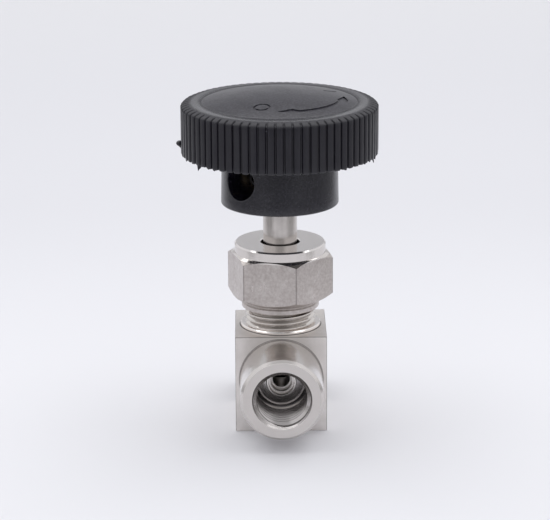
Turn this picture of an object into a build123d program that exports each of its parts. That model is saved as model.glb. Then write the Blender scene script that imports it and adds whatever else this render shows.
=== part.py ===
"""Needle valve: square bar body with two threaded ports, rising stem, gland nut and moulded handwheel.

Frame: millimetres, +Z up along the stem, ports along Y with the outlet port at -Y,
origin on the stem axis in the plane of the body's flat base.
The valve is drawn open by `open_rest`; the lower limit of the stem's travel is the closed valve.
Threads are drawn as rings of the right pitch on the male parts. Female threads are plain bores of
the major diameter, so that mating parts pass.
"""

import os
from math import cos, radians, sin, sqrt, tan

from build123d import *

# ---------------------------------------------------------------- driving dimensions
# body block, port bosses and neck
block_width = 21.5
block_height = 23.3
block_edge = 0.12
port_height = 12.9
port_reach = 25.9
boss_radius = 9.7
boss_chamfer = 0.65
boss_root_fillet = 0.15
collar_radius = 9.5
collar_height = 0.75
neck_undercut_radius = 7.6
neck_undercut_height = 0.45
neck_top = 37.5

# G 3/8 thread on the neck and in the gland nut, G 1/4 in the ports
pipe_pitch = 1.337
neck_major_radius = 8.33
neck_minor_radius = 7.50
port_major_radius = 6.58
port_mouth_radius = 6.95
port_mouth_depth = 0.45
port_thread_end = 10.95
port_relief_radius = 6.75
port_nose_depth = 12.7
port_nose_height = 1.3
port_nose_radius = 5.6
port_nose_land = 0.25
port_floor_depth = 13.3
port_lip_depth = 12.75
port_lip_radii = (2.95, 3.1, 3.4, 3.55)
port_pocket_depth = 13.9
port_pocket_radius = 2.55
port_pilot_depth = 15.4
port_pilot_radius = 2.4

# flow passages and seat
passage_radius = 2.03
inlet_offset = 2.4
seat_radius = 2.0
seat_height = 9.6
chamber_radius = 4.0
chamber_top = 15.5
under_seat_height = 5.5

# stem, its M10 x 1 thread and the needle
stem_radius = 4.0
stem_top = 66.0
stem_pitch = 1.0
stem_thread_radius = 4.95
stem_thread_root = 4.40
stem_thread_bottom = 18.0
stem_thread_top = 26.0
stem_bore_radius = 5.05
open_rest = 2.0
needle_radius = 3.3
needle_half_angle = 20.0
needle_tip_radius = 0.4
seat_gap = 0.06

# packing box, packing rings and gland
box_radius = 6.5
box_floor = 29.3
ring_inner = 4.03
ring_outer = 6.46
washer_thickness = 1.0
chevron_thickness = 1.0
chevron_peak = 0.8
chevron_count = 3
adapter_edge = 0.6
top_adapter_height = 1.5
gland_flange_radius = 7.7
gland_flange_bottom = 38.3

# gland nut
nut_across_flats = 22.0
nut_angle = 16.5
hex_corner_bottom = 31.7
hex_corner_top = 40.3
hex_chamfer_angle = 30.0
nut_collar_radius = 10.75
nut_top = 43.7
nut_top_chamfer = 0.35
nut_top_wall = 3.5
nut_hole_radius = 4.6
nut_bore_radius = 8.45
nut_skirt_radius = 9.15
nut_skirt_bottom = 28.05
nut_skirt_groove = 29.3

# handwheel, its brass insert and set screw
hub_bottom = 53.25
hub_bottom_radius = 13.8
hub_top_radius = 13.55
rim_bottom = 65.4
rim_radius = 23.0
wheel_top = 77.3
shoulder_width = 2.4
shoulder_height = 1.3
land_outer = 20.5
land_inner = 18.3
dome_height = 2.3
rib_count = 72
rib_width = 1.42
rib_depth = 0.5
access_radius = 4.3
access_height = 60.5
access_angle = 44.6
insert_radius = 7.0
insert_bottom = 54.0
insert_top = 66.6
insert_grooves = (55.6, 64.4)
insert_groove_height = 1.0
screw_radius = 2.5
screw_length = 4.6
stem_flat = 3.55

# ---------------------------------------------------------------- worked-out values
half_width = block_width / 2
collar_top = block_height + collar_height
thread_bottom = collar_top + neck_undercut_height
washer_top = box_floor + washer_thickness
packing_base = washer_top + adapter_edge
packing_sides_top = packing_base + chevron_count * chevron_thickness
packing_top = packing_sides_top + top_adapter_height
ring_middle = (ring_inner + ring_outer) / 2
nut_corner_radius = nut_across_flats / sqrt(3)
nut_ceiling = nut_top - nut_top_wall
chamfer_slope = tan(radians(hex_chamfer_angle))
hex_bottom = hex_corner_bottom - (nut_corner_radius - nut_skirt_radius) * chamfer_slope
hex_top = hex_corner_top + (nut_corner_radius - nut_collar_radius) * chamfer_slope
seat_contact = seat_height + open_rest + seat_gap
needle_slope = tan(radians(needle_half_angle))
needle_shoulder = seat_contact + (needle_radius - seat_radius) / needle_slope
needle_point = seat_contact - (seat_radius - needle_tip_radius) / needle_slope
access_direction = (-sin(radians(access_angle)), -cos(radians(access_angle)), 0)
screw_plane = Plane(origin=(0, 0, access_height), x_dir=(0, 0, 1), z_dir=access_direction)


def ring_thread(inner, outer, start, end, pitch, crest_share=0.2):
    """Points (radius, position) of a row of thread rings from start to end, crests at `outer`."""
    count = int((end - start) / pitch)
    lead = (end - start - count * pitch) / 2
    points = [(inner, start)]
    for turn in range(count):
        base = start + lead + turn * pitch
        crest = pitch * crest_share
        points += [
            (inner, base + pitch * 0.06),
            (outer, base + (pitch - crest) / 2),
            (outer, base + (pitch + crest) / 2),
            (inner, base + pitch * 0.94),
        ]
    return points + [(inner, end)]


def write_part(builder, name):
    builder.part.label = name
    export_step(builder.part, f"parts/{name}.step")
    volume = builder.part.volume
    print(f"{name:24s} {len(builder.part.solids())} solid(s) {volume:10.1f} mm3")


def turned(points, mode=Mode.ADD):
    """Revolve a closed outline of (radius, height) points about the stem axis."""
    with BuildSketch(Plane.XZ) as half_section:
        with BuildLine():
            Polyline(*points, close=True)
        make_face()
    revolve(half_section.sketch, axis=Axis.Z, mode=mode)


# ---------------------------------------------------------------- valve body
def port_profile(side):
    """Half section of one port as (y, z) points, side -1 at the front and +1 at the rear."""
    lip_foot, lip_inner, lip_outer, lip_root = port_lip_radii
    nose_foot = port_nose_depth + port_nose_height
    steps = [
        (-1.0, 0.0),
        (-1.0, port_mouth_radius),
        (0.0, port_mouth_radius),
        (port_mouth_depth, port_major_radius),
        (port_thread_end, port_major_radius),
        (port_thread_end + 0.15, port_relief_radius),
        (nose_foot, port_relief_radius),
        (nose_foot, port_nose_radius + 0.1),
        (port_nose_depth, port_nose_radius),
        (port_nose_depth, port_nose_radius - port_nose_land),
        (port_floor_depth, port_nose_radius - port_nose_land - 0.1),
        (port_floor_depth, lip_root),
        (port_lip_depth, lip_outer),
        (port_lip_depth, lip_inner),
        (port_pocket_depth, lip_foot),
        (port_pocket_depth, port_pocket_radius),
        (port_pilot_depth, port_pilot_radius),
        (port_pilot_depth, 0.0),
    ]
    return [(side * (port_reach - depth), port_height + radius) for depth, radius in steps]


with BuildPart() as valve_body:
    with BuildSketch(Plane.XY):
        Rectangle(block_width, block_width)
    extrude(amount=block_height)
    chamfer(valve_body.edges(), block_edge)
    for side in (-1, 1):
        with BuildSketch(Plane(origin=(0, side * half_width, port_height), z_dir=(0, side, 0))):
            Circle(boss_radius)
        extrude(amount=port_reach - half_width)
        rim = valve_body.edges().filter_by(GeomType.CIRCLE).sort_by(Axis.Y)[-1 if side > 0 else 0]
        chamfer(rim, boss_chamfer)
    roots = [
        edge
        for edge in valve_body.edges().filter_by(GeomType.CIRCLE)
        if abs(abs(edge.center().Y) - half_width) < 0.01 and abs(edge.radius - boss_radius) < 0.01
    ]
    fillet(roots, boss_root_fillet)
    neck = [
        (0, block_height - 1),
        (collar_radius, block_height - 1),
        (collar_radius, block_height),
        (collar_radius, collar_top - 0.25),
        (collar_radius - 0.25, collar_top),
        (neck_undercut_radius, collar_top),
    ]
    neck += ring_thread(
        neck_minor_radius, neck_major_radius, thread_bottom, neck_top - 0.8, pipe_pitch
    )
    neck += [(neck_minor_radius, neck_top), (0, neck_top)]
    turned(neck)
    cavity = [
        (0, under_seat_height - 1.5),
        (seat_radius, under_seat_height - 1.5 + 0.8),
        (seat_radius, seat_height),
        (seat_radius + 0.25, seat_height + 0.25 / needle_slope),
        (chamber_radius, seat_height + 1.4),
        (chamber_radius, chamber_top),
        (stem_bore_radius, chamber_top),
        (stem_bore_radius, box_floor - 1.8),
        (5.3, box_floor - 1.5),
        (5.3, box_floor),
        (box_radius, box_floor),
        (box_radius, neck_top - 0.5),
        (box_radius + 0.5, neck_top),
        (box_radius + 0.5, neck_top + 1),
        (0, neck_top + 1),
    ]
    turned(cavity, Mode.SUBTRACT)
    for side in (-1, 1):
        with BuildSketch(Plane.YZ):
            with BuildLine():
                Polyline(*port_profile(side), close=True)
            make_face()
        revolve(axis=Axis((0, 0, port_height), (0, 1, 0)), mode=Mode.SUBTRACT)
    # outlet passage: level, from the front port into the chamber above the seat
    with BuildSketch(Plane(origin=(0, 0, port_height), z_dir=(0, -1, 0))):
        Circle(passage_radius)
    extrude(amount=port_reach - port_pocket_depth, mode=Mode.SUBTRACT)
    # inlet passage: drilled down from the floor of the rear port to below the seat
    inlet_mouth = Vector(0, port_reach - port_pocket_depth, port_height - inlet_offset)
    inlet_end = Vector(0, 0, under_seat_height)
    inlet_run = inlet_mouth - inlet_end
    with BuildSketch(Plane(origin=inlet_end, z_dir=inlet_run)):
        Circle(passage_radius)
    extrude(amount=inlet_run.length + passage_radius, mode=Mode.SUBTRACT)

# ---------------------------------------------------------------- needle and stem
with BuildPart() as needle_tip:
    neck_bottom = needle_shoulder + 1.5
    outline = [
        (0, needle_point),
        (needle_tip_radius, needle_point),
        (needle_radius, needle_shoulder),
        (needle_radius, neck_bottom),
        (1.6, neck_bottom),
        (1.6, neck_bottom + 1.2),
        (2.6, neck_bottom + 1.2),
        (2.6, neck_bottom + 2.2),
        (0, neck_bottom + 2.5),
    ]
    turned(outline)

with BuildPart() as stem:
    end = needle_shoulder + 1.5 + 0.1
    outline = [(0, end), (3.5, end), (3.8, end + 0.3), (3.8, stem_thread_bottom)]
    outline += ring_thread(
        stem_thread_root, stem_thread_radius, stem_thread_bottom + 0.1, stem_thread_top, stem_pitch
    )
    outline += [
        (stem_radius, stem_thread_top + 0.3),
        (stem_radius, stem_top - 0.6),
        (stem_radius - 0.6, stem_top),
        (0, stem_top),
    ]
    turned(outline)
    # socket that holds the swivelling needle, its lip rolled in under the needle's head
    socket = [
        (0, end - 1),
        (1.8, end - 1),
        (1.8, end + 0.9),
        (2.75, end + 0.9),
        (2.75, end + 2.4),
        (0, end + 3.2),
    ]
    turned(socket, Mode.SUBTRACT)
    # flat that the set screw bears on
    with BuildSketch(screw_plane.offset(stem_flat)):
        Rectangle(7.0, 2 * stem_radius)
    extrude(amount=stem_radius, mode=Mode.SUBTRACT)

# ---------------------------------------------------------------- packing and gland
with BuildPart() as packing_washer:
    inner, outer = stem_radius + 0.1, ring_outer
    turned([(inner, box_floor), (outer, box_floor), (outer, washer_top), (inner, washer_top)])

with BuildPart() as packing_base_ring:
    outline = [
        (ring_inner, washer_top),
        (ring_outer, washer_top),
        (ring_outer, packing_base),
        (ring_middle, packing_base + chevron_peak),
        (ring_inner, packing_base),
    ]
    turned(outline)

packing_rings = []
for index in range(chevron_count):
    low = packing_base + index * chevron_thickness
    high = low + chevron_thickness
    with BuildPart() as packing_ring:
        outline = [
            (ring_inner, low),
            (ring_middle, low + chevron_peak),
            (ring_outer, low),
            (ring_outer, high),
            (ring_middle, high + chevron_peak),
            (ring_inner, high),
        ]
        turned(outline)
    packing_rings.append(packing_ring)

with BuildPart() as packing_top_ring:
    outline = [
        (ring_inner, packing_sides_top),
        (ring_middle, packing_sides_top + chevron_peak),
        (ring_outer, packing_sides_top),
        (ring_outer, packing_top),
        (ring_inner, packing_top),
    ]
    turned(outline)

with BuildPart() as gland_follower:
    outline = [
        (stem_radius + 0.12, packing_top),
        (ring_outer - 0.06, packing_top),
        (ring_outer - 0.06, gland_flange_bottom),
        (gland_flange_radius, gland_flange_bottom),
        (gland_flange_radius, nut_ceiling - 0.3),
        (gland_flange_radius - 0.3, nut_ceiling),
        (stem_radius + 0.12, nut_ceiling),
    ]
    turned(outline)

with BuildPart() as gland_nut:
    with BuildSketch(Plane.XY.offset(hex_bottom)):
        RegularPolygon(nut_corner_radius, 6, rotation=nut_angle - 90)
    extrude(amount=hex_top - hex_bottom)
    reach = nut_corner_radius + 1
    # both ends of the hexagon are turned to a cone
    envelope = [
        (0, hex_bottom),
        (nut_skirt_radius, hex_bottom),
        (nut_corner_radius, hex_corner_bottom),
        (reach, hex_corner_bottom + 1),
        (reach, hex_corner_top - 1),
        (nut_corner_radius, hex_corner_top),
        (nut_collar_radius, hex_top),
        (0, hex_top),
    ]
    turned(envelope, Mode.INTERSECT)
    collar = [
        (0, hex_top - 1),
        (nut_collar_radius - 0.1, hex_top - 1),
        (nut_collar_radius, hex_top),
        (nut_collar_radius, nut_top - nut_top_chamfer),
        (nut_collar_radius - nut_top_chamfer, nut_top),
        (0, nut_top),
    ]
    turned(collar)
    skirt = [
        (0, nut_skirt_bottom),
        (nut_skirt_radius - 0.12, nut_skirt_bottom),
        (nut_skirt_radius, nut_skirt_bottom + 0.12),
        (nut_skirt_radius, nut_skirt_groove - 0.22),
        (nut_skirt_radius - 0.2, nut_skirt_groove),
        (nut_skirt_radius, nut_skirt_groove + 0.22),
        (nut_skirt_radius, hex_bottom + 0.2),
        (0, hex_bottom + 0.2),
    ]
    turned(skirt)
    bore = [
        (0, nut_skirt_bottom - 1),
        (nut_bore_radius, nut_skirt_bottom - 1),
        (nut_bore_radius, nut_ceiling),
        (nut_hole_radius, nut_ceiling),
        (nut_hole_radius, nut_top - 0.2),
        (nut_hole_radius + 0.2, nut_top),
        (nut_hole_radius + 0.2, nut_top + 1),
        (0, nut_top + 1),
    ]
    turned(bore, Mode.SUBTRACT)

# ---------------------------------------------------------------- handwheel, insert and set screw
insert_outline = [(0, insert_bottom), (insert_radius, insert_bottom)]
for low in insert_grooves:
    insert_outline += [
        (insert_radius, low),
        (insert_radius - 0.7, low),
        (insert_radius - 0.7, low + insert_groove_height),
        (insert_radius, low + insert_groove_height),
    ]
insert_outline += [(insert_radius, insert_top), (0, insert_top)]

with BuildPart() as handwheel_insert:
    turned(insert_outline)
    # blind bore for the stem, with a washer's width left over its end
    stem_socket = [
        (0, insert_bottom - 1),
        (stem_radius + 0.03, insert_bottom - 1),
        (stem_radius + 0.03, stem_top + 0.1),
        (0, stem_top + 0.1),
    ]
    turned(stem_socket, Mode.SUBTRACT)
    with BuildSketch(screw_plane):
        Circle(screw_radius + 0.02)
    extrude(amount=insert_radius + 1, mode=Mode.SUBTRACT)

with BuildPart() as set_screw:
    screw = [(0, stem_flat), (1.6, stem_flat), (2.0, stem_flat + 0.5)]
    screw += [
        (radius, along)
        for radius, along in ring_thread(
            2.1, screw_radius, stem_flat + 0.5, stem_flat + screw_length - 0.2, 0.8
        )
    ]
    screw += [(2.0, stem_flat + screw_length), (0, stem_flat + screw_length)]
    side_plane = Plane(
        origin=screw_plane.origin,
        x_dir=screw_plane.x_dir,
        z_dir=screw_plane.x_dir.cross(screw_plane.z_dir),
    )
    with BuildSketch(side_plane):
        with BuildLine():
            Polyline(*screw, close=True)
        make_face()
    revolve(axis=Axis(screw_plane.origin, access_direction))
    with BuildSketch(screw_plane.offset(stem_flat + screw_length)):
        RegularPolygon(1.45, 6)
    extrude(amount=-2.2, mode=Mode.SUBTRACT)


def wheel_outline(inset):
    """Half section of the handwheel, its grip drawn `inset` inside the crests of the ribs."""
    grip = rim_radius - inset
    top = wheel_top - inset
    bend = grip - shoulder_width
    land = [(bend, top)]
    if inset:
        land += [(land_outer, top), (land_outer, wheel_top)]
    land.append((land_inner, wheel_top))
    ball = (land_inner**2 + dome_height**2) / (2 * dome_height)
    middle = land_inner / 2
    middle_height = wheel_top + dome_height - ball + sqrt(ball**2 - middle**2)
    with BuildLine() as section:
        Polyline(
            (0, hub_bottom),
            (hub_bottom_radius - 0.35, hub_bottom),
            (hub_bottom_radius, hub_bottom + 0.35),
            (hub_top_radius, rim_bottom - 0.5),
            (hub_top_radius + 0.5, rim_bottom),
            (grip - 0.5, rim_bottom),
            (grip, rim_bottom + 0.5),
            (grip, top - shoulder_height),
        )
        EllipticalCenterArc(
            (bend, top - shoulder_height), shoulder_width, shoulder_height, arc_size=90
        )
        Polyline(*land)
        ThreePointArc(
            (land_inner, wheel_top), (middle, middle_height), (0, wheel_top + dome_height)
        )
        Line((0, wheel_top + dome_height), (0, hub_bottom))
    return section


with BuildPart() as handwheel:
    # ribs: a star of planks kept only inside the outer shape of the grip
    with BuildSketch(Plane.XY.offset(rim_bottom)):
        with PolarLocations(rim_radius - 1.5, rib_count):
            Rectangle(4.0, rib_width)
    extrude(amount=wheel_top - rim_bottom)
    with BuildSketch(Plane.XZ):
        add(wheel_outline(0).line)
        make_face()
    revolve(axis=Axis.Z, mode=Mode.INTERSECT)
    with BuildSketch(Plane.XZ):
        add(wheel_outline(rib_depth).line)
        make_face()
    revolve(axis=Axis.Z)
    turned(insert_outline, Mode.SUBTRACT)
    stem_hole = [
        (0, hub_bottom - 1),
        (stem_radius + 0.6, hub_bottom - 1),
        (stem_radius + 0.6, insert_bottom),
        (0, insert_bottom),
    ]
    turned(stem_hole, Mode.SUBTRACT)
    with BuildSketch(screw_plane):
        Circle(access_radius)
    extrude(amount=hub_bottom_radius + 1, mode=Mode.SUBTRACT)

# ---------------------------------------------------------------- write
os.makedirs("parts", exist_ok=True)
pieces = {
    "valve_body": valve_body,
    "needle_tip": needle_tip,
    "stem": stem,
    "packing_washer": packing_washer,
    "packing_base_ring": packing_base_ring,
    "packing_top_ring": packing_top_ring,
    "gland_follower": gland_follower,
    "gland_nut": gland_nut,
    "handwheel_insert": handwheel_insert,
    "set_screw": set_screw,
    "handwheel": handwheel,
}
for index, packing_ring in enumerate(packing_rings, start=1):
    pieces[f"packing_ring_{index}"] = packing_ring
for name, builder in pieces.items():
    write_part(builder, name)
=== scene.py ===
import math
import random

import bmesh
import bpy
from mathutils import Matrix, Vector


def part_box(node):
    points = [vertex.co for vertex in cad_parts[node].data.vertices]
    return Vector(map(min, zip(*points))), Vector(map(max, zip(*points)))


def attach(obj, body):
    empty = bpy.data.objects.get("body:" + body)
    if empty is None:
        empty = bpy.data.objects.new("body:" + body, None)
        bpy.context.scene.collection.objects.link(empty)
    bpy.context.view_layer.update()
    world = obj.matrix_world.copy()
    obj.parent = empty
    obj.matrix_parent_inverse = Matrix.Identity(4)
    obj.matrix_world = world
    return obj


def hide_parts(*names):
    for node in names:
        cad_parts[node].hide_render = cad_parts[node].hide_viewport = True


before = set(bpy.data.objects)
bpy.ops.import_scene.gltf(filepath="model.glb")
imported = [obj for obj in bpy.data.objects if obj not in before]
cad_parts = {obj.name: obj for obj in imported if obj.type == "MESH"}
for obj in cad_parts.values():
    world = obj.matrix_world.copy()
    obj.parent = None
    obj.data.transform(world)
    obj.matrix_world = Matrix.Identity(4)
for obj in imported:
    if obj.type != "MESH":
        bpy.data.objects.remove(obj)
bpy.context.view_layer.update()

MM = 0.001

# ---------------------------------------------------------------- places taken from the frame
wheel_low, wheel_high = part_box("handwheel")
insert_low, insert_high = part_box("handwheel_insert")
body_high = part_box("valve_body")[1]

# ---------------------------------------------------------------- handwheel dimensions, metres
RIM_RADIUS = wheel_high[0]
DOME_HEIGHT = 2.3 * MM
LAND_TOP = wheel_high[2] - DOME_HEIGHT
RIM_BOTTOM = LAND_TOP - 11.9 * MM
RIM_EDGE = 0.3 * MM
SHOULDER_WIDTH = 2.4 * MM
SHOULDER_HEIGHT = 1.0 * MM
LAND_OUTER = RIM_RADIUS - SHOULDER_WIDTH
LAND_INNER = 18.3 * MM
CORE_RADIUS = 18.25 * MM
DOME_GROOVE = 0.07 * MM
OVERLAP = 0.05 * MM
HUB_BOTTOM = wheel_low[2]
HUB_RADIUS = 13.8 * MM
HUB_TOP_RADIUS = 13.55 * MM
HUB_EDGE = 0.35 * MM
HUB_ROOT = 0.4 * MM
STEM_HOLE = 4.6 * MM
INSERT_BOTTOM = insert_low[2]
INSERT_TOP = insert_high[2]
INSERT_RADIUS = insert_high[0]
RIB_COUNT = 72
RIB_PHASE = math.radians(1.8)
GROOVE_DEPTH = 0.55 * MM
RIB_CROWN = 0.08 * MM
# places across one rib pitch, the groove's middle at 0, the rib's middle at 0.5
RIB_STEPS = (
    0.0, 0.06, 0.095, 0.125, 0.155, 0.19, 0.25, 0.35,
    0.5, 0.65, 0.75, 0.81, 0.845, 0.875, 0.905, 0.94,
)
ACCESS_RADIUS = 4.3 * MM
ACCESS_HEIGHT = HUB_BOTTOM + 7.25 * MM
ACCESS_TURN = math.radians(-44.6)
# the dome is part of a ball: its radius and the height of its centre
DOME_BALL = (LAND_INNER**2 + DOME_HEIGHT**2) / (2 * DOME_HEIGHT)
DOME_CENTRE = LAND_TOP + DOME_HEIGHT - DOME_BALL
MARK_DEPTH = 0.3 * MM

# ---------------------------------------------------------------- body, thread and nut, metres
BLOCK_HALF = 10.75 * MM
BLOCK_TOP = 23.3 * MM
BOSS_RADIUS = 9.7 * MM
COLLAR_RADIUS = 9.5 * MM
PIPE_PITCH = 1.337 * MM
PORT_HEIGHT = 12.9 * MM
PORT_REACH = body_high[1]
PORT_ROOT = 6.58 * MM
PORT_CREST = 5.80 * MM
MOUTH_RADIUS = 6.95 * MM
MOUTH_DEPTH = 0.45 * MM
# the floor of a port and the inner end of its thread, as distances from the stem axis
PORT_FLOOR = 12.6 * MM
PORT_THREAD_END = 14.95 * MM
PORT_NOSE_RADIUS = 5.6 * MM
NECK_ROOT = 7.50 * MM
NECK_CREST = 8.33 * MM
COLLAR_TOP = 24.05 * MM
NECK_TOP = body_high[2]
NUT_COLLAR_RADIUS = 10.75 * MM
NUT_CORNER_RADIUS = 12.7 * MM
NUT_SKIRT_TOP = 30.6 * MM
NUT_COLLAR_BOTTOM = 40.9 * MM
NUT_TOP = 43.7 * MM


# ---------------------------------------------------------------- mesh helpers
def new_object(name, vertices, faces, sharp=None):
    """Smooth-shaded object from vertices and faces, with edges above `sharp` degrees kept crisp."""
    mesh = bpy.data.meshes.new(name)
    mesh.from_pydata(vertices, [], faces)
    tidy = bmesh.new()
    tidy.from_mesh(mesh)
    bmesh.ops.recalc_face_normals(tidy, faces=tidy.faces)
    tidy.to_mesh(mesh)
    tidy.free()
    mesh.polygons.foreach_set("use_smooth", [True] * len(mesh.polygons))
    if sharp is not None:
        mesh.set_sharp_from_angle(angle=math.radians(sharp))
    item = bpy.data.objects.new(name, mesh)
    bpy.context.scene.collection.objects.link(item)
    return item


def cut(item, cutter):
    """Cuts one object's shape out of another and deletes the cutter."""
    boolean = item.modifiers.new("cut", "BOOLEAN")
    boolean.operation = "DIFFERENCE"
    boolean.solver = "EXACT"
    boolean.object = cutter
    bpy.context.view_layer.update()
    graph = bpy.context.evaluated_depsgraph_get()
    result = bpy.data.meshes.new_from_object(item.evaluated_get(graph))
    item.modifiers.clear()
    item.data = result
    bpy.data.objects.remove(cutter, do_unlink=True)


def smoothstep(low, high, value):
    share = min(max((value - low) / (high - low), 0.0), 1.0)
    return share * share * (3 - 2 * share)


def polar(radius, turn, height):
    """Point at a turn measured from the front (-Y) towards +X."""
    return (radius * math.sin(turn), -radius * math.cos(turn), height)


def bridge(faces, low, high, count):
    """Quads between two closed rings of vertices."""
    for index in range(count):
        beside = (index + 1) % count
        faces.append((low + index, low + beside, high + beside, high + index))


def arc(centre, width, height, start, end, steps):
    """Points (r, z, angle) on an elliptical arc from start to end degrees, ends included."""
    places = []
    for step in range(steps + 1):
        angle = math.radians(start + (end - start) * step / steps)
        r, z = centre[0] + width * math.cos(angle), centre[1] + height * math.sin(angle)
        places.append((r, z, angle))
    return places


# ---------------------------------------------------------------- handwheel: ribbed grip
def groove(share):
    """How far the grip lies inside its crest at a place across one rib pitch."""
    away = min(share, 1 - share)
    wall = 1 - smoothstep(0.07, 0.165, away)
    crown = max(0.0, (0.5 - away) / 0.35)
    return GROOVE_DEPTH * wall + RIB_CROWN * min(crown, 1.0) ** 2 * (1 - wall)


def grip_stations():
    """Closed half section of the grip: rows of (r, z, angle, share of groove, share of flash)."""
    rows = []

    def station(r, z, angle=0.0, depth=0.0, flash=0.0):
        rows.append((r, z, angle, depth, flash))

    station(CORE_RADIUS - OVERLAP, RIM_BOTTOM)
    station(RIM_RADIUS - 1.8 * MM, RIM_BOTTOM)
    station(RIM_RADIUS - 0.8 * MM, RIM_BOTTOM, depth=0.9)
    rim_edge = (RIM_RADIUS - RIM_EDGE, RIM_BOTTOM + RIM_EDGE)
    for r, z, angle in arc(rim_edge, RIM_EDGE, RIM_EDGE, -90, 0, 6):
        # the flash hangs from the middle of the rounded edge
        fin = 1.0 if abs(math.degrees(angle) + 45) < 5 else 0.0
        station(r, z, angle * 0.4, 1.0, fin)
    shoulder = (LAND_OUTER, LAND_TOP - SHOULDER_HEIGHT)
    for share in (0.12, 0.3, 0.5, 0.7, 0.88):
        station(RIM_RADIUS, rim_edge[1] + (shoulder[1] - rim_edge[1]) * share, depth=1.0)
    groove_fades, groove_ends = math.radians(48), math.radians(82)
    for r, z, angle in arc(shoulder, SHOULDER_WIDTH, SHOULDER_HEIGHT, 0, 90, 14):
        station(r, z, angle, 1 - smoothstep(groove_fades, groove_ends, angle))
    lip = 0.12 * MM
    for r, z, _ in arc((LAND_INNER + lip, LAND_TOP - lip), lip, lip, 90, 180, 3):
        station(r, z)
    station(CORE_RADIUS - OVERLAP, LAND_TOP - 0.4 * MM)
    return rows


def uneven(table, turn):
    """A value between the entries of a table spread evenly round the wheel."""
    position = (turn / (2 * math.pi)) % 1.0 * len(table)
    index = int(position) % len(table)
    share = position - int(position)
    return table[index] + (table[(index + 1) % len(table)] - table[index]) * share


# tags of flash that hang from the grip's lower edge: (degrees from the front, length in millimetres)
FLASH_TAGS = (
    (-54.4, 1.35), (-70, 0.45), (-41, 0.35), (40, 0.35),
    (57, 0.35), (69, 1.2), (73, 0.6), (84, 0.5),
)
# degrees from a tag's middle to its end, and the steps round the wheel in which the flash varies
TAG_HALF_WIDTH = 1.7
FLASH_STEPS = 300


def make_grip():
    """Ring of straight ribs, each a little different, with moulding flash on its lower edge."""
    rows = grip_stations()
    columns = RIB_COUNT * len(RIB_STEPS)
    chance = random.Random(7)
    lip_table = [chance.uniform(0.0, 0.16) * MM for _ in range(FLASH_STEPS)]
    for _ in range(18):
        lip_table[chance.randrange(FLASH_STEPS)] = chance.uniform(0.2, 0.38) * MM
    rib_rise = [chance.uniform(-0.035, 0.035) * MM for _ in range(RIB_COUNT)]
    rib_fade = [chance.uniform(-0.12, 0.12) for _ in range(RIB_COUNT)]
    vertices, faces = [], []
    for r, z, angle, depth, flash in rows:
        for column in range(columns):
            rib, place = divmod(column, len(RIB_STEPS))
            share = RIB_STEPS[place]
            turn = 2 * math.pi * (rib + share) / RIB_COUNT + RIB_PHASE
            fade = depth
            if 0 < depth < 1 and angle > 0:
                fade = min(max(depth + rib_fade[rib] * math.sin(depth * math.pi), 0), 1)
            reach = groove(share) * fade
            if depth == 1 and place > 0:
                reach -= rib_rise[rib] * math.sin(math.pi * share)
            lip = uneven(lip_table, turn)
            degrees = math.degrees((turn + math.pi) % (2 * math.pi) - math.pi)
            for middle, length in FLASH_TAGS:
                lip = max(lip, length * MM * (1 - abs(degrees - middle) / TAG_HALF_WIDTH))
            lip *= flash
            radius = r - reach * math.cos(angle) + lip * 0.2
            vertices.append(polar(radius, turn, z - reach * math.sin(angle) - lip))
    for row in range(len(rows)):
        bridge(faces, row * columns, (row + 1) % len(rows) * columns, columns)
    return new_object("handwheel_grip", vertices, faces, sharp=50)


def make_flash_curl():
    """A curl of moulding flash that stands off the grip's lower left edge."""
    # degrees from the front, radius, height over the rim's lower edge, half thickness
    route = (
        (-84, 22.6, 0.3, 0.2), (-87, 22.6, 0.8, 0.3), (-89, 22.7, 1.2, 0.45), (-90, 23.0, 1.5, 0.7),
        (-90, 23.3, 1.8, 0.85), (-90, 23.4, 2.15, 0.85), (-90, 23.35, 2.55, 0.7), (-90, 23.3, 2.8, 0.3),
    )
    sides = 8
    vertices, faces = [], []
    for degrees, radius, rise, thick in route:
        centre = Vector(polar(radius * MM, math.radians(degrees), RIM_BOTTOM + rise * MM))
        for side in range(sides):
            angle = 2 * math.pi * side / sides
            off = Vector(polar(math.cos(angle), math.radians(degrees), 0))
            off += Vector(polar(1, math.radians(degrees + 90), 0)) * math.sin(angle)
            vertices.append(tuple(centre + off * thick * MM))
    for ring in range(len(route) - 1):
        bridge(faces, ring * sides, (ring + 1) * sides, sides)
    faces.append(tuple(range(sides)))
    faces.append(tuple(range(len(vertices) - sides, len(vertices))))
    curl = new_object("handwheel_flash_curl", vertices, faces)
    smooth = curl.modifiers.new("smooth", "SUBSURF")
    smooth.levels = smooth.render_levels = 1
    return curl


# ---------------------------------------------------------------- handwheel: domed core with its marks
def dome_height(radius):
    return DOME_CENTRE + math.sqrt(DOME_BALL**2 - radius**2)


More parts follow.
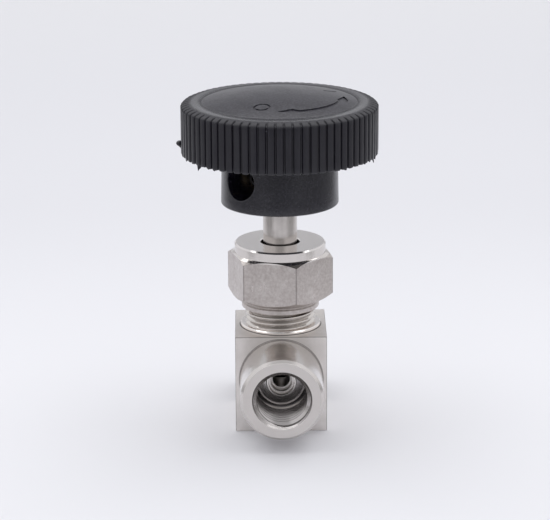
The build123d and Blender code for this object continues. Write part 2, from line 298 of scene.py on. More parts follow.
def make_dome():
    """Middle of the handwheel: a low dome with a fine groove round it, and the insert's pocket below."""
    columns = 180
    groove_lip, groove_floor = 17.98 * MM, 18.08 * MM
    rows = [(radius * MM, dome_height(radius * MM)) for radius in (*range(1, 18), 17.6, 17.85)]
    rows += [
        (groove_lip, dome_height(groove_lip) - 0.03 * MM),
        (groove_floor, LAND_TOP - DOME_GROOVE),
        (CORE_RADIUS, LAND_TOP - DOME_GROOVE),
        (CORE_RADIUS, RIM_BOTTOM),
        (13.0 * MM, RIM_BOTTOM),
        (INSERT_RADIUS, RIM_BOTTOM),
        (INSERT_RADIUS, INSERT_TOP),
    ]
    vertices, faces = [], []
    for radius, height in rows:
        for column in range(columns):
            vertices.append(polar(radius, 2 * math.pi * column / columns, height))
    for row in range(len(rows) - 1):
        bridge(faces, row * columns, (row + 1) * columns, columns)
    faces.append(tuple(range(len(vertices) - columns, len(vertices))))
    vertices.append((0, 0, LAND_TOP + DOME_HEIGHT))
    for column in range(columns):
        faces.append((column, (column + 1) % columns, len(vertices) - 1))
    return new_object("handwheel_dome", vertices, faces)


def sunk_strip(name, stations, closed=False):
    """Cutter for a mark: a strip of (inner point, outer point) pairs, its floor parallel to the dome."""
    vertices, faces = [], []
    floor_ball = DOME_BALL - MARK_DEPTH
    for pair in stations:
        for x, y in pair:
            low = DOME_CENTRE + math.sqrt(floor_ball**2 - x * x - y * y)
            vertices += [(x, y, low), (x, y, LAND_TOP + DOME_HEIGHT + 1 * MM)]
    count = len(stations)
    for index in range(count if closed else count - 1):
        here, there = 4 * index, 4 * ((index + 1) % count)
        for a, b in ((0, 2), (2, 3), (3, 1), (1, 0)):
            faces.append((here + a, here + b, there + b, there + a))
    if not closed:
        last = 4 * (count - 1)
        faces += [(0, 2, 3, 1), (last, last + 2, last + 3, last + 1)]
    return new_object(name, vertices, faces)


def flat_polar(radius, degrees):
    turn = math.radians(degrees)
    return (radius * MM * math.sin(turn), -radius * MM * math.cos(turn))


def arrow_cutter():
    """Curved arrow that shows the opening turn: it starts in a point and ends in a barbed head."""
    # degrees from the front, inner and outer radius in millimetres
    tail = [(-2, 14.15, 14.35), (5, 13.55, 14.75), (11, 13.0, 15.0), (13, 13.1, 15.1), (17, 13.8, 15.2)]
    middle = [(17 + 4 * step, 13.95, 15.25) for step in range(1, 15)]
    head = [(76, 13.95, 15.3), (77.5, 13.6, 16.0), (81, 13.75, 16.0)]
    head += [(85, 14.05, 15.8), (90, 14.5, 15.5), (95, 14.95, 15.1)]
    band = tail + middle + head
    stations = [(flat_polar(inner, turn), flat_polar(outer, turn)) for turn, inner, outer in band]
    return sunk_strip("arrow_cutter", stations)


def ring_cutter():
    """Ring mark at the closed end of the arrow."""
    centre, outer, inner, steps = flat_polar(12.1, -20), 2.0 * MM, 1.45 * MM, 40
    stations = []
    for step in range(steps):
        angle = 2 * math.pi * step / steps
        x, y = math.cos(angle), math.sin(angle)
        stations.append(tuple((centre[0] + r * x, centre[1] + r * y) for r in (inner, outer)))
    return sunk_strip("ring_cutter", stations, closed=True)


def bar_cutter():
    """Bar mark at the open end of the arrow."""
    low, high = 113.5, 116.5
    stations = [(flat_polar(radius, low), flat_polar(radius, high)) for radius in (11.4, 13.1, 14.8)]
    return sunk_strip("bar_cutter", stations)


def settle_dome_shading(item):
    """True dome normals on the cut dome, and flat ones on everything that isn't the dome."""
    mesh = item.data
    centre = Vector((0, 0, DOME_CENTRE))
    normals = []
    for face in mesh.polygons:
        out = face.center - centre
        along_ball = face.normal.dot(out.normalized()) > 0.9995
        on_dome = along_ball and out.length > DOME_BALL - 0.05 * MM
        rim = face.center.z < LAND_TOP + 0.02 * MM
        for index in face.loop_indices:
            place = mesh.vertices[mesh.loops[index].vertex_index].co
            if on_dome and not rim:
                normals.append((place - centre).normalized())
            else:
                normals.append(face.normal.copy())
    mesh.polygons.foreach_set("use_smooth", [True] * len(mesh.polygons))
    mesh.normals_split_custom_set(normals)


# ---------------------------------------------------------------- handwheel: hub with its access hole
def hub_radius(height):
    share = min(max((height - HUB_BOTTOM) / (RIM_BOTTOM - HUB_BOTTOM), 0.0), 1.0)
    return HUB_RADIUS + (HUB_TOP_RADIUS - HUB_RADIUS) * share


def pocket_radius(height):
    return INSERT_RADIUS


HUB_COLUMNS = 180
# the window that the wall's grid leaves for the access hole: columns to each side of its middle,
# and the grid's rows there, in millimetres below the land
WINDOW_COLUMNS = 11
WINDOW_DEPTHS = (22.0, 20.3, 18.5, 16.8, 15.1, 13.7, 12.4)


def holed_wall(vertices, faces, radius_at, window_turn, below, above):
    """Wall of revolution whose grid leaves out a window round the access hole.

    Returns the first vertex of its foot ring and of its top ring, the vertices of the window's border,
    and where each of those lies, as (across, up) from the hole's axis. The caller fills the space
    between the border and the hole, see hole_ring."""
    columns, reach = HUB_COLUMNS, WINDOW_COLUMNS
    turns = []
    for column in range(columns):
        steps = column if column <= columns // 2 else column - columns
        if abs(steps) <= reach:
            turn = window_turn * steps / reach
        else:
            spare = (abs(steps) - reach) / (columns / 2 - reach)
            turn = math.copysign(window_turn + (math.pi - window_turn) * spare, steps)
        turns.append(turn)
    window = [LAND_TOP - depth * MM for depth in WINDOW_DEPTHS]
    rows = below + [(radius_at(height), height) for height in window] + above
    start = len(vertices)
    for radius, height in rows:
        for turn in turns:
            vertices.append(polar(radius, ACCESS_TURN + turn, height))
    low, high = len(below), len(below) + len(window) - 1
    for row in range(len(rows) - 1):
        for column in range(columns):
            beside = (column + 1) % columns
            inside = column < reach or column >= columns - reach
            if low <= row < high and inside:
                continue
            foot, head = start + row * columns, start + (row + 1) * columns
            faces.append((foot + column, foot + beside, head + beside, head + column))
    border = [(low, column) for column in range(-reach, reach + 1)]
    border += [(row, reach) for row in range(low + 1, high + 1)]
    border += [(high, column) for column in range(reach - 1, -reach - 1, -1)]
    border += [(row, -reach) for row in range(high - 1, low, -1)]
    ring = [start + row * columns + column % columns for row, column in border]
    places = []
    for row, column in border:
        radius, height = rows[row]
        places.append((radius * math.sin(turns[column % columns]), height - ACCESS_HEIGHT))
    return start, start + (len(rows) - 1) * columns, ring, places


def hole_ring(vertices, places, share, hole, radius_at, sink=0.0):
    """Ring of points between the window's border (share 0) and the hole (share 1), on the wall."""
    ring = []
    along = Vector(polar(1, ACCESS_TURN, 0))
    across = Vector(polar(1, ACCESS_TURN + math.pi / 2, 0))
    for x, z in places:
        size = math.hypot(x, z)
        x = x + (x / size * hole - x) * share
        z = z + (z / size * hole - z) * share
        radius = radius_at(ACCESS_HEIGHT + z)
        depth = math.sqrt(radius * radius - x * x) - sink
        point = along * depth + across * x
        ring.append(len(vertices))
        vertices.append((point.x, point.y, ACCESS_HEIGHT + z))
    return ring


def join_rings(faces, first, second):
    for index in range(len(first)):
        beside = (index + 1) % len(first)
        faces.append((first[index], first[beside], second[beside], second[index]))


def make_hub():
    """Hub with its access hole: outer wall, insert's pocket, and the hole's wall between the two."""
    vertices, faces = [], []
    bevel = 0.3 * MM
    below = [(STEM_HOLE, HUB_BOTTOM + bevel), (STEM_HOLE + bevel, HUB_BOTTOM), (9.0 * MM, HUB_BOTTOM)]
    edge = arc((HUB_RADIUS - HUB_EDGE, HUB_BOTTOM + HUB_EDGE), HUB_EDGE, HUB_EDGE, -90, 0, 6)
    below += [(r, z) for r, z, _ in edge]
    root_foot = RIM_BOTTOM - HUB_ROOT
    root = arc((HUB_TOP_RADIUS + HUB_ROOT, root_foot), HUB_ROOT, HUB_ROOT, 180, 90, 5)
    above = [(r, z) for r, z, _ in root[1:]]
    above.append((HUB_TOP_RADIUS - 0.5 * MM, RIM_BOTTOM + OVERLAP))
    foot, head, border, places = holed_wall(vertices, faces, hub_radius, math.radians(22), below, above)
    round_off = 0.22 * MM
    rings = [border]
    for share in (0.35, 0.7, 0.9, 1.0):
        rings.append(hole_ring(vertices, places, share, ACCESS_RADIUS + round_off, hub_radius))
    for degrees in (30, 60, 90):
        angle = math.radians(degrees)
        hole = ACCESS_RADIUS + round_off * (1 - math.sin(angle))
        sink = round_off * (1 - math.cos(angle))
        rings.append(hole_ring(vertices, places, 1.0, hole, hub_radius, sink))
    for sink in (1.5 * MM, 3.0 * MM, 4.5 * MM):
        rings.append(hole_ring(vertices, places, 1.0, ACCESS_RADIUS, hub_radius, sink))
    pocket_foot = [(INSERT_RADIUS, INSERT_BOTTOM)]
    pocket_top = [(INSERT_RADIUS, RIM_BOTTOM + OVERLAP)]
    foot_in, head_in, border_in, places_in = holed_wall(
        vertices, faces, pocket_radius, math.radians(46), pocket_foot, pocket_top
    )
    for share in (1.0, 0.5):
        rings.append(hole_ring(vertices, places_in, share, ACCESS_RADIUS, pocket_radius))
    rings.append(border_in)
    for first, second in zip(rings, rings[1:]):
        join_rings(faces, first, second)
    bridge(faces, foot, foot_in, HUB_COLUMNS)
    bridge(faces, head, head_in, HUB_COLUMNS)
    return new_object("handwheel_hub", vertices, faces, sharp=40)


# ---------------------------------------------------------------- screw threads
# one ridge of a Whitworth thread: (place across the pitch, share of the height)
RIDGE = (
    (-0.5, -0.12), (-0.5, 0.0), (-0.4, 0.1), (-0.12, 0.92), (-0.06, 1.0),
    (0.06, 1.0), (0.12, 0.92), (0.4, 0.1), (0.5, 0.0), (0.5, -0.12),
)
# share of a turn over which a ridge grows at its start and dies away at its end
RUN_OUT = 0.4


def thread_ridge(name, root, crest, start, end, place=Matrix(), limit=None):
    """Closed right-hand ridge about the local Z axis between two heights, run out at both ends.

    `limit` can change the radius at a height, and `place` puts the thread where it belongs."""
    steps = 72
    total = int((end - start) / PIPE_PITCH * steps)
    count = len(RIDGE)
    vertices, faces = [], []
    for step in range(total + 1):
        angle = 2 * math.pi * step / steps
        middle = start + PIPE_PITCH * step / steps
        size = smoothstep(0, steps * RUN_OUT, step) * smoothstep(0, steps * RUN_OUT, total - step)
        for across, share in RIDGE:
            height = middle + across * PIPE_PITCH
            radius = root + (crest - root) * (share * size if share > 0 else share - 0.02)
            if limit:
                radius = limit(radius, height)
            point = Vector((radius * math.cos(angle), radius * math.sin(angle), height))
            vertices.append(tuple(place @ point))
    for step in range(total):
        bridge(faces, step * count, (step + 1) * count, count)
    faces.append(tuple(range(count)))
    faces.append(tuple(range(len(vertices) - count, len(vertices))))
    return new_object(name, vertices, faces, sharp=60)


def port_thread(name, side):
    """Thread of one port, cut back by the countersink at the mouth."""
    outward = Vector((0, side, 0)).to_track_quat("Z", "X").to_matrix().to_4x4()
    place = Matrix.Translation((0, 0, PORT_HEIGHT)) @ outward

    def countersunk(radius, height):
        depth = PORT_REACH - height
        cone = MOUTH_RADIUS - (MOUTH_RADIUS - PORT_ROOT) / MOUTH_DEPTH * depth
        if depth < MOUTH_DEPTH:
            return cone + 0.05 * MM
        return max(radius, cone)

    start, end = PORT_REACH - 11.0 * MM, PORT_REACH - 0.75 * MM
    return thread_ridge(name, PORT_ROOT, PORT_CREST, start, end, place, countersunk)


def make_body():
    """The valve body with its neck turned plain, for a helical thread to stand on."""
    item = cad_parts["valve_body"]
    mesh = item.data.copy()
    body = bpy.data.objects.new("body_casting", mesh)
    bpy.context.scene.collection.objects.link(body)
    spare = 0.05 * MM
    for vertex in mesh.vertices:
        reach = math.hypot(vertex.co.x, vertex.co.y)
        on_neck = COLLAR_TOP + 0.5 * MM < vertex.co.z < NECK_TOP - 0.6 * MM
        if on_neck and NECK_ROOT - spare < reach < NECK_CREST + spare:
            vertex.co.x *= NECK_ROOT / reach
            vertex.co.y *= NECK_ROOT / reach
    return body


# ---------------------------------------------------------------- materials
SPAN_SOCKETS = ("From Min", "From Max", "To Min", "To Max")


class Finish:
    """A Principled material and short calls that add nodes to it."""

    def __init__(self, name):
        self.material = bpy.data.materials.new(name)
        self.material.use_nodes = True
        self.nodes = self.material.node_tree.nodes
        self.links = self.material.node_tree.links
        self.shader = self.nodes["Principled BSDF"]
        self.place = self.nodes.new("ShaderNodeTexCoord").outputs["Object"]

    def feed(self, socket, value):
        """Links a value into a socket, or sets the socket to a number or colour."""
        if isinstance(value, bpy.types.NodeSocket):
            self.links.new(value, socket)
        else:
            socket.default_value = value

    def set(self, socket, value):
        self.feed(self.shader.inputs[socket], value)

    def stretched(self, scale):
        """The object's coordinates scaled along each axis: a small scale draws a noise out that way."""
        node = self.nodes.new("ShaderNodeMapping")
        node.inputs["Scale"].default_value = scale
        self.links.new(self.place, node.inputs["Vector"])
        return node.outputs["Vector"]

    def noise(self, scale, detail, vector=None, roughness=0.5):
        node = self.nodes.new("ShaderNodeTexNoise")
        node.inputs["Scale"].default_value = scale
        node.inputs["Detail"].default_value = detail
        node.inputs["Roughness"].default_value = roughness
        self.links.new(vector or self.place, node.inputs["Vector"])
        return node.outputs["Fac"]

    def math(self, operation, first, second=0.0):
        node = self.nodes.new("ShaderNodeMath")
        node.operation = operation
        for socket, value in zip(node.inputs, (first, second)):
            self.feed(socket, value)
        return node.outputs["Value"]

    def times(self, first, second):
        return self.math("MULTIPLY", first, second)

    def larger(self, first, second):
        return self.math("MAXIMUM", first, second)

    def plus(self, first, second):
        return self.math("ADD", first, second)

    def minus(self, first, second):
        return self.math("SUBTRACT", first, second)

    def ramp(self, value, low, high, to_low=0.0, to_high=1.0, smooth=False):
        """Runs from to_low where the value is low to to_high where it is high, and holds beyond them."""
        node = self.nodes.new("ShaderNodeMapRange")
        if smooth:
            node.interpolation_type = "SMOOTHSTEP"
        for socket, number in zip(SPAN_SOCKETS, (low, high, to_low, to_high)):
            node.inputs[socket].default_value = number
        self.links.new(value, node.inputs["Value"])
        return node.outputs["Result"]

    def mix(self, share, first, second):
        """Mixes two numbers by a mask."""
        node = self.nodes.new("ShaderNodeMix")
        for socket, value in zip((0, 2, 3), (share, first, second)):
            self.feed(node.inputs[socket], value)
        return node.outputs[0]

    def colours(self, share, first, second):
        """Mixes two colours by a mask."""
        node = self.nodes.new("ShaderNodeMix")
        node.data_type = "RGBA"
        self.links.new(share, node.inputs[0])
        for socket, value in zip((6, 7), (first, second)):
            self.feed(node.inputs[socket], (*value, 1) if isinstance(value, tuple) else value)
        return node.outputs[2]

    def axes(self):
        node = self.nodes.new("ShaderNodeSeparateXYZ")
        self.links.new(self.place, node.inputs["Vector"])
        return node.outputs["X"], node.outputs["Y"], node.outputs["Z"]

    def distance(self, first, second):
        return self.math("SQRT", self.plus(self.times(first, first), self.times(second, second)))

    def bump(self, height, distance, soften=0.0):
        """Relief of a given height, on edges rounded to the eye by a radius."""
        node = self.nodes.new("ShaderNodeBump")
        node.inputs["Strength"].default_value = 1.0
        node.inputs["Distance"].default_value = distance
        self.links.new(height, node.inputs["Height"])
        if soften:
            edge = self.nodes.new("ShaderNodeBevel")
            edge.samples = 4
            edge.inputs["Radius"].default_value = soften
            self.links.new(edge.outputs["Normal"], node.inputs["Normal"])
        self.set("Normal", node.outputs["Normal"])


STEEL = (0.83, 0.79, 0.765)
STEEL_DULL = (0.75, 0.715, 0.69)
NECK_STEEL = (0.64, 0.605, 0.575)
BOSS_STEEL = (0.62, 0.59, 0.57)
BEVEL_STEEL = (0.72, 0.685, 0.665)
BLASTED_STEEL = (0.70, 0.665, 0.645)
PORT_THREAD_STEEL = (0.52, 0.495, 0.485)
# darker steel in the roots of the neck thread: painted shade
NECK_GROOVE_PAINTED_SHADE = (0.55, 0.515, 0.49)
# near-black steel deep inside the ports: painted shade
PORT_FLOOR_PAINTED_SHADE = (0.2, 0.185, 0.2)
# dark steel for painted shade on the block's edges and at the roots of the bosses and the collar
PAINTED_SHADE_STEEL = (0.24, 0.22, 0.21)
NUT_STEEL = (0.64, 0.605, 0.58)
NUT_DULL = (0.45, 0.405, 0.385)
NUT_TOP_STEEL = (0.70, 0.67, 0.655)
# dark steel on the hex's corners: a painted dark reflection
NUT_CORNER_PAINTED_REFLECTION = (0.2, 0.18, 0.17)

# scales that draw a noise out into tool marks
ROUND_STEM = (0.02, 0.02, 1.0)
ROUND_PORTS = (0.02, 1.0, 0.02)
DRAWN = (1.0, 1.0, 0.03)


def body_steel():
    """Stainless steel: drawn block, turned and polished bosses and neck, blasted port faces."""
    finish = Finish("body_steel_finish")
    x, y, z = finish.axes()
    out = finish.math("ABSOLUTE", y)
    from_stem = finish.distance(x, y)
    from_port = finish.distance(x, finish.minus(z, PORT_HEIGHT))

    # masks of the turned and the blasted surfaces
    face = finish.ramp(out, PORT_REACH - 0.06 * MM, PORT_REACH - 0.03 * MM)
    boss = finish.ramp(out, BLOCK_HALF + 0.1 * MM, BLOCK_HALF + 0.15 * MM)
    neck = finish.ramp(z, BLOCK_TOP + 0.02 * MM, BLOCK_TOP + 0.06 * MM)
    turned = finish.larger(boss, neck)
    over_collar = finish.ramp(z, COLLAR_TOP + 0.05 * MM, COLLAR_TOP + 0.1 * MM)
    # painted shade along the roots of the neck thread
    painted_groove_shade = finish.times(
        finish.ramp(from_stem, NECK_ROOT + 0.35 * MM, NECK_ROOT + 0.15 * MM),
        finish.ramp(z, COLLAR_TOP + 0.15 * MM, COLLAR_TOP + 0.25 * MM),
    )
    bevel = finish.times(
        finish.ramp(from_port, BOSS_RADIUS - 0.8 * MM, BOSS_RADIUS - 0.75 * MM),
        finish.ramp(out, PORT_REACH - 0.7 * MM, PORT_REACH - 0.65 * MM),
    )

    # masks inside the ports
    bore = finish.times(
        finish.ramp(from_port, MOUTH_RADIUS + 0.05 * MM, MOUTH_RADIUS + 0.02 * MM),
        finish.ramp(out, PORT_FLOOR - 0.2 * MM, PORT_FLOOR - 0.1 * MM),
    )
    thread_in, thread_out = PORT_THREAD_END - 0.05 * MM, PORT_THREAD_END + 0.05 * MM
    thread = finish.times(bore, finish.ramp(out, thread_in, thread_out))
    beside_nose = finish.ramp(from_port, PORT_NOSE_RADIUS + 0.1 * MM, PORT_NOSE_RADIUS + 0.15 * MM)
    relief_zone = finish.times(finish.times(bore, beside_nose), finish.ramp(out, thread_out, thread_in))
    port_floor = finish.times(bore, finish.ramp(out, PORT_FLOOR + 0.2 * MM, PORT_FLOOR + 0.15 * MM))

    # painted shade on the block's edges and at the roots of the bosses and the collar
    sides = finish.ramp(finish.math("ABSOLUTE", x), BLOCK_HALF - 0.13 * MM, BLOCK_HALF - 0.1 * MM)
    ends = finish.ramp(out, BLOCK_HALF - 0.13 * MM, BLOCK_HALF - 0.1 * MM)
    top = finish.ramp(z, BLOCK_TOP - 0.14 * MM, BLOCK_TOP - 0.1 * MM)
    painted_dark_corner = finish.plus(finish.times(sides, ends), finish.times(ends, top))
    painted_dark_corner = finish.plus(painted_dark_corner, finish.times(sides, top))
    painted_dark_corner = finish.times(finish.math("MINIMUM", painted_dark_corner, 1.0), finish.minus(1.0, turned))
    root = finish.times(
        finish.ramp(from_port, BOSS_RADIUS + 0.28 * MM, BOSS_RADIUS + 0.25 * MM),
        finish.ramp(from_port, BOSS_RADIUS - 0.1 * MM, BOSS_RADIUS - 0.05 * MM),
    )
    near_block = finish.ramp(out, BLOCK_HALF + 0.23 * MM, BLOCK_HALF + 0.19 * MM)
    root = finish.times(root, finish.times(ends, near_block))
    low = finish.ramp(z, BLOCK_TOP + 0.18 * MM, BLOCK_TOP + 0.14 * MM)
    near_collar = finish.ramp(from_stem, COLLAR_RADIUS + 0.25 * MM, COLLAR_RADIUS + 0.2 * MM)
    foot = finish.times(low, finish.times(top, near_collar))
    # painted shade: the block's edges, the bosses' roots and the collar's foot darkened
    painted_shade = finish.larger(finish.larger(painted_dark_corner, finish.times(root, 0.75)), foot)

    # tool marks, blasting grit and clouding
    rings = finish.noise(5200, 2, finish.stretched(ROUND_PORTS))
    coils = finish.noise(4200, 2, finish.stretched(ROUND_STEM))
    drawn = finish.noise(3400, 3, finish.stretched(DRAWN))
    grit = finish.noise(5200, 2)
    cloud = finish.noise(330, 5, roughness=0.62)
    lines = finish.mix(neck, finish.mix(boss, drawn, rings), coils)
    relief = finish.mix(face, lines, grit)

    def clouded(low, high):
        return finish.ramp(cloud, 0.3, 0.7, low, high)

    turned_rough = finish.mix(boss, clouded(0.07, 0.12), clouded(0.17, 0.23))
    rough = finish.mix(turned, clouded(0.34, 0.46), turned_rough)
    rough = finish.mix(face, rough, clouded(0.50, 0.58))
    rough = finish.mix(thread, rough, 0.2)
    finish.set("Roughness", finish.plus(rough, finish.ramp(lines, 0.35, 0.65, -0.03, 0.05)))

    boss_only = finish.times(boss, finish.minus(0.7, finish.larger(bore, face)))
    # painted shade in the relief groove round the nose and on the port's floor
    painted_recess_shade = finish.larger(relief_zone, finish.times(port_floor, 0.6))
    steel = finish.colours(finish.ramp(cloud, 0.35, 0.75), STEEL, STEEL_DULL)
    for mask, colour in (
        (thread, PORT_THREAD_STEEL),
        (bevel, BEVEL_STEEL),
        (face, BLASTED_STEEL),
        (over_collar, NECK_STEEL),
        (painted_groove_shade, NECK_GROOVE_PAINTED_SHADE),
        (boss_only, BOSS_STEEL),
        (painted_recess_shade, PORT_FLOOR_PAINTED_SHADE),
        # painted shade on the block's edges and at the roots
        (painted_shade, PAINTED_SHADE_STEEL),
    ):
        steel = finish.colours(mask, steel, colour)
    finish.set("Base Color", steel)
    finish.set("Metallic", 1.0)
    depth = finish.mix(face, finish.mix(turned, 0.0016, 0.0011), 0.006)
    finish.bump(finish.times(relief, depth), 1.0 * MM, 0.04 * MM)
    return finish.material


def nut_steel():
    """Gland nut: satin clouded flats, bright turned collar, top and chamfers."""
    finish = Finish("gland_nut_finish")
    x, y, z = finish.axes()
    reach = finish.distance(x, y)
    flat = finish.times(
        finish.ramp(reach, NUT_COLLAR_RADIUS + 0.11 * MM, NUT_COLLAR_RADIUS + 0.17 * MM),
        finish.ramp(z, NUT_COLLAR_BOTTOM + 0.1 * MM, NUT_COLLAR_BOTTOM),
    )
    flat = finish.larger(flat, finish.ramp(z, NUT_SKIRT_TOP, NUT_SKIRT_TOP - 0.1 * MM))
    top = finish.ramp(z, NUT_TOP - 0.4 * MM, NUT_TOP - 0.36 * MM)
    coils = finish.noise(4200, 2, finish.stretched(ROUND_STEM))
    cloud = finish.noise(300, 5, roughness=0.6)
    grain = finish.noise(2600, 3, finish.stretched((1.0, 1.0, 0.12)))
    turned_rough = finish.ramp(cloud, 0.3, 0.7, 0.07, 0.11)
    rough = finish.mix(flat, turned_rough, finish.ramp(cloud, 0.3, 0.7, 0.27, 0.35))
    finish.set("Roughness", finish.plus(rough, finish.ramp(grain, 0.35, 0.65, -0.02, 0.04)))
    mottle = finish.ramp(finish.noise(1500, 3, roughness=0.7), 0.35, 0.65, -0.3, 0.3)
    dull = finish.times(finish.plus(finish.ramp(cloud, 0.2, 0.75, 0.45, 0.85), mottle), flat)
    # the hex's corners are darkened: a painted dark reflection
    painted_dark_corner = finish.ramp(reach, NUT_CORNER_RADIUS - 0.14 * MM, NUT_CORNER_RADIUS - 0.07 * MM)
    steel = finish.colours(top, finish.colours(dull, NUT_STEEL, NUT_DULL), NUT_TOP_STEEL)
    finish.set("Base Color", finish.colours(finish.times(painted_dark_corner, 0.55), steel, NUT_CORNER_PAINTED_REFLECTION))
    finish.set("Metallic", 1.0)
    finish.bump(finish.mix(flat, coils, grain), 0.0012 * MM, 0.05 * MM)
    return finish.material


def ground_steel(name, colour=STEEL, low=0.12, high=0.2, along=(0.03, 0.03, 1.0), streaks=6000):
    """Ground or turned steel with fine tool marks, round the stem's axis unless given another run."""
    finish = Finish(name)
    coils = finish.noise(streaks, 2, finish.stretched(along))
    cloud = finish.noise(350, 4)
    rough = finish.ramp(cloud, 0.3, 0.7, low, high)
    finish.set("Roughness", finish.plus(rough, finish.ramp(coils, 0.35, 0.65, -0.02, 0.05)))
    dull = tuple(part * 0.88 for part in colour)
    finish.set("Base Color", finish.colours(finish.ramp(cloud, 0.3, 0.8), colour, dull))
    finish.set("Metallic", 1.0)
    finish.bump(coils, 0.0014 * MM, 0.08 * MM)
    return finish.material


def black_oxide():
    finish = Finish("set_screw_finish")
    cloud = finish.noise(900, 4)
    worn = finish.ramp(cloud, 0.35, 0.7)
    finish.set("Base Color", finish.colours(worn, (0.03, 0.03, 0.034), (0.07, 0.068, 0.066)))
    finish.set("Roughness", finish.ramp(cloud, 0.3, 0.7, 0.35, 0.5))
    finish.set("Metallic", 0.8)
    finish.bump(cloud, 0.004 * MM, 0.06 * MM)
    return finish.material


def ptfe():
    finish = Finish("packing_finish")
    cloud = finish.noise(700, 4)
    finish.set("Base Color", finish.colours(cloud, (0.93, 0.93, 0.91), (0.84, 0.84, 0.81)))
    finish.set("Roughness", finish.ramp(cloud, 0.3, 0.7, 0.45, 0.6))
    finish.set("Subsurface Weight", 0.15)
    finish.set("Subsurface Radius", (0.6 * MM, 0.6 * MM, 0.6 * MM))
    finish.bump(cloud, 0.01 * MM)
    return finish.material


MOULDING_BLACK = (0.006, 0.0052, 0.0115)
DUST = (0.13, 0.125, 0.15)


def phenolic():
    """Black moulded phenolic: glossy on the land and the hub, duller and dusty on the dome."""
    finish = Finish("phenolic_finish")
    x, y, z = finish.axes()
    reach = finish.distance(x, y)
    up = finish.ramp(z, LAND_TOP - 0.6 * MM, LAND_TOP - 0.1 * MM)
    dome = finish.times(up, finish.ramp(reach, LAND_INNER + 0.1 * MM, LAND_INNER - 0.2 * MM))
    land = finish.times(up, finish.ramp(reach, LAND_INNER + 0.2 * MM, LAND_INNER + 1.1 * MM))
    land = finish.times(land, finish.ramp(reach, LAND_OUTER + 0.2 * MM, LAND_OUTER - 0.3 * MM))
    shoulder = finish.times(
        finish.ramp(z, LAND_TOP - 1.2 * MM, LAND_TOP - 0.9 * MM),
        finish.ramp(reach, LAND_OUTER + 0.2 * MM, LAND_OUTER + 0.6 * MM),
    )
    hub = finish.times(
        finish.ramp(reach, HUB_RADIUS + 0.8 * MM, HUB_RADIUS + 0.4 * MM),
        finish.ramp(z, RIM_BOTTOM, RIM_BOTTOM - 0.1 * MM),
    )
    cloud = finish.noise(260, 4)

    def clouded(low, high):
        return finish.ramp(cloud, 0.3, 0.7, low, high)

    rough = finish.mix(dome, clouded(0.30, 0.40), clouded(0.33, 0.38))
    rough = finish.mix(land, rough, 0.14)
    rough = finish.mix(shoulder, rough, 0.62)
    finish.set("Roughness", finish.mix(hub, rough, clouded(0.22, 0.29)))

    # a veil of dust, and rare round specks of it
    veil = finish.times(finish.ramp(finish.noise(1900, 2), 0.45, 0.65), 0.25)
    cells = finish.nodes.new("ShaderNodeTexVoronoi")
    cells.inputs["Scale"].default_value = 330
    finish.links.new(finish.place, cells.inputs["Vector"])
    chosen = finish.nodes.new("ShaderNodeSeparateColor")
    finish.links.new(cells.outputs["Color"], chosen.inputs["Color"])
    rare = finish.math("GREATER_THAN", chosen.outputs["Red"], 0.86)
    speck = finish.times(rare, finish.ramp(cells.outputs["Distance"], 0.055, 0.03))
    veil = finish.times(veil, finish.plus(finish.mix(hub, 0.08, 0.45), dome))
    finish.set("Base Color", finish.colours(finish.larger(veil, speck), MOULDING_BLACK, DUST))
    finish.set("IOR", 1.6)
    pebble = finish.noise(2300, 3, roughness=0.6)
    finish.bump(finish.times(pebble, finish.mix(dome, 1.0, 1.5)), 0.02 * MM, 0.06 * MM)
    return finish.material


def dress(item, material):
    """Gives an object its material in every slot."""
    if not item.material_slots:
        item.data.materials.append(material)
    for slot in item.material_slots:
        slot.material = material


def add_piece(item, body, material, replaces=None):
    dress(item, material)
    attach(item, body)
    if replaces:
        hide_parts(replaces)


# ---------------------------------------------------------------- build
black = phenolic()
dome = make_dome()
for cutter in (arrow_cutter(), ring_cutter(), bar_cutter()):
    cut(dome, cutter)
settle_dome_shading(dome)
add_piece(dome, "spindle", black, "handwheel")
add_piece(make_grip(), "spindle", black, "handwheel")
add_piece(make_hub(), "spindle", black, "handwheel")
add_piece(make_flash_curl(), "spindle", black)

steel = body_steel()
add_piece(make_body(), "valve", steel, "valve_body")
neck_start, neck_end = BLOCK_TOP - 0.03 * MM, NECK_TOP - 1.0 * MM
neck_thread = thread_ridge("neck_thread", NECK_ROOT, NECK_CREST, neck_start, neck_end)
add_piece(neck_thread, "valve", steel)
add_piece(port_thread("outlet_port_thread", -1), "valve", steel)
add_piece(port_thread("inlet_port_thread", 1), "valve", steel)

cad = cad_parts
dress(cad["gland_nut"], nut_steel())
# the stem's marks run along it
stem_steel = ground_steel("stem_finish", (0.58, 0.545, 0.52), 0.14, 0.2, (1.0, 1.0, 0.02), 1400)
dress(cad["stem"], stem_steel)
dress(cad["needle_tip"], ground_steel("needle_finish", (0.6, 0.59, 0.58), 0.1, 0.18))
dress(cad["gland_follower"], ground_steel("gland_follower_finish"))
dress(cad["packing_washer"], ground_steel("packing_washer_finish"))
dress(cad["handwheel_insert"], ground_steel("brass_finish", (0.48, 0.38, 0.24), 0.25, 0.35))
dress(cad["set_screw"], black_oxide())
for ring in ("base_ring", "ring_1", "ring_2", "ring_3", "top_ring"):
    dress(cad["packing_" + ring], ptfe())


# ---------------------------------------------------------------- stage, light and camera
# how bright the surroundings are, as (from, to, level there, level there) along Y, along Z, and along
# Z less half of Y, which dims the sky over the front
WORLD_ALONG = (-0.98, -0.72, 0.58, 0.94)
WORLD_RISE = (-0.12, 0.3, 0.38, 1.0)
WORLD_FRONT = (0.98, 1.06, 1.0, 0.65)


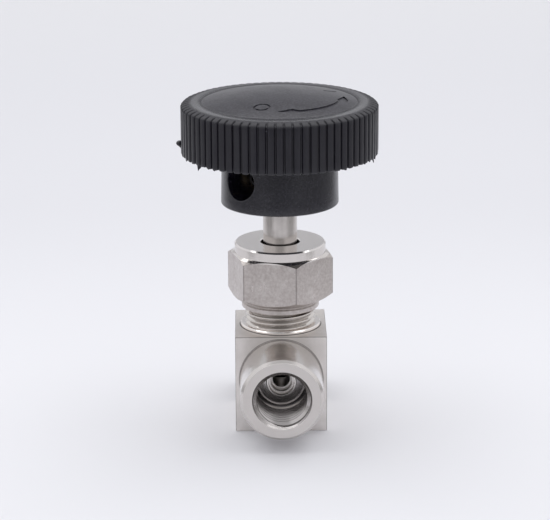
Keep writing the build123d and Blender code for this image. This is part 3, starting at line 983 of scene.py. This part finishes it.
def make_floor():
    """Pale floor that curves up into a backdrop behind the valve."""
    front, depth, bend, top = -0.2, 1.15, 0.35, 1.2
    section = [(front, 0.0), (depth - bend, 0.0)]
    for step in range(1, 17):
        angle = math.radians(-90 + 90 * step / 16)
        section.append((depth - bend + bend * math.cos(angle), bend + bend * math.sin(angle)))
    section.append((depth, top))
    vertices = [(side * (0.16 + 0.22 * y), y, z) for y, z in section for side in (-1, 1)]
    faces = [(2 * i, 2 * i + 1, 2 * i + 3, 2 * i + 2) for i in range(len(section) - 1)]
    floor = new_object("floor", vertices, faces)
    finish = Finish("pale_floor")
    _, y, z = finish.axes()
    # painted light and shade on the floor: paler in front of the valve, darker behind it under the overhead
    # lamp; the backdrop is darker towards its top
    behind = finish.ramp(y, -0.03, 0.21, smooth=True)
    near = finish.colours(behind, (0.765, 0.765, 0.795), (0.645, 0.645, 0.675))
    high = finish.ramp(z, 0.45, 0.7, smooth=True)
    far = finish.colours(high, (0.88, 0.88, 0.89), (0.42, 0.42, 0.43))
    finish.set("Base Color", finish.colours(finish.ramp(y, 0.3, 0.95, smooth=True), near, far))
    finish.set("Roughness", 0.7)
    finish.set("Specular IOR Level", 0.2)
    floor.data.materials.append(finish.material)


def area_light(name, place, target, size, radiance):
    """White soft box of a given brightness seen from the object, where 1 is display white."""
    data = bpy.data.lights.new(name, "AREA")
    data.shape = "RECTANGLE"
    data.size, data.size_y = size
    data.energy = radiance * math.pi * size[0] * size[1]
    item = bpy.data.objects.new(name, data)
    item.location = place
    item.rotation_euler = (Vector(target) - Vector(place)).to_track_quat("-Z", "Y").to_euler()
    bpy.context.scene.collection.objects.link(item)


def make_world():
    """Soft studio surroundings: bright beside and behind the valve, dimmer in front, overhead and below."""
    world = bpy.data.worlds.new("studio")
    world.use_nodes = True
    nodes, links = world.node_tree.nodes, world.node_tree.links
    place = nodes.new("ShaderNodeTexCoord")
    axes = nodes.new("ShaderNodeSeparateXYZ")
    links.new(place.outputs["Generated"], axes.inputs["Vector"])
    y, z = axes.outputs["Y"], axes.outputs["Z"]
    over_front = nodes.new("ShaderNodeMath")
    over_front.operation = "MULTIPLY_ADD"
    over_front.inputs[1].default_value = -0.5
    links.new(y, over_front.inputs[0])
    links.new(z, over_front.inputs[2])
    levels = []
    for value, span in ((y, WORLD_ALONG), (z, WORLD_RISE), (over_front.outputs["Value"], WORLD_FRONT)):
        level = nodes.new("ShaderNodeMapRange")
        level.interpolation_type = "SMOOTHSTEP"
        for socket, number in zip(SPAN_SOCKETS, span):
            level.inputs[socket].default_value = number
        links.new(value, level.inputs["Value"])
        levels.append(level.outputs["Result"])
    strength = levels[0]
    for level in levels[1:]:
        product = nodes.new("ShaderNodeMath")
        product.operation = "MULTIPLY"
        links.new(strength, product.inputs[0])
        links.new(level, product.inputs[1])
        strength = product.outputs["Value"]
    background = nodes["Background"]
    background.inputs["Color"].default_value = (0.97, 0.975, 1.0, 1)
    links.new(strength, background.inputs["Strength"])
    bpy.context.scene.world = world


def make_camera():
    """Camera at the reference viewing angle: a long lens, a little above the valve."""
    elevation, yaw, roll = math.radians(16.47), math.radians(0.59), math.radians(-0.30)
    distance = 0.579
    aim = Vector((-1.22 * MM, 0, 38.97 * MM))
    level_share = math.cos(elevation)
    forward = Vector((math.sin(yaw) * level_share, math.cos(yaw) * level_share, -math.sin(elevation)))
    level = Vector((math.cos(yaw), -math.sin(yaw), 0))
    upright = level.cross(forward)
    right = level * math.cos(roll) + upright * math.sin(roll)
    up = upright * math.cos(roll) - level * math.sin(roll)
    data = bpy.data.cameras.new("camera")
    data.lens = 160.4
    data.sensor_width = 36.0
    data.clip_start = 0.01
    item = bpy.data.objects.new("camera", data)
    axes = Matrix((right, up, -forward)).transposed().to_4x4()
    item.matrix_world = Matrix.Translation(aim - forward * distance) @ axes
    bpy.context.scene.collection.objects.link(item)
    bpy.context.scene.camera = item


make_floor()
make_world()
area_light("overhead", place=(0, 0.21, 0.6), target=(0, 0.21, 0), size=(1.0, 0.66), radiance=1.3)
make_camera()
bpy.context.scene.view_settings.view_transform = "Standard"
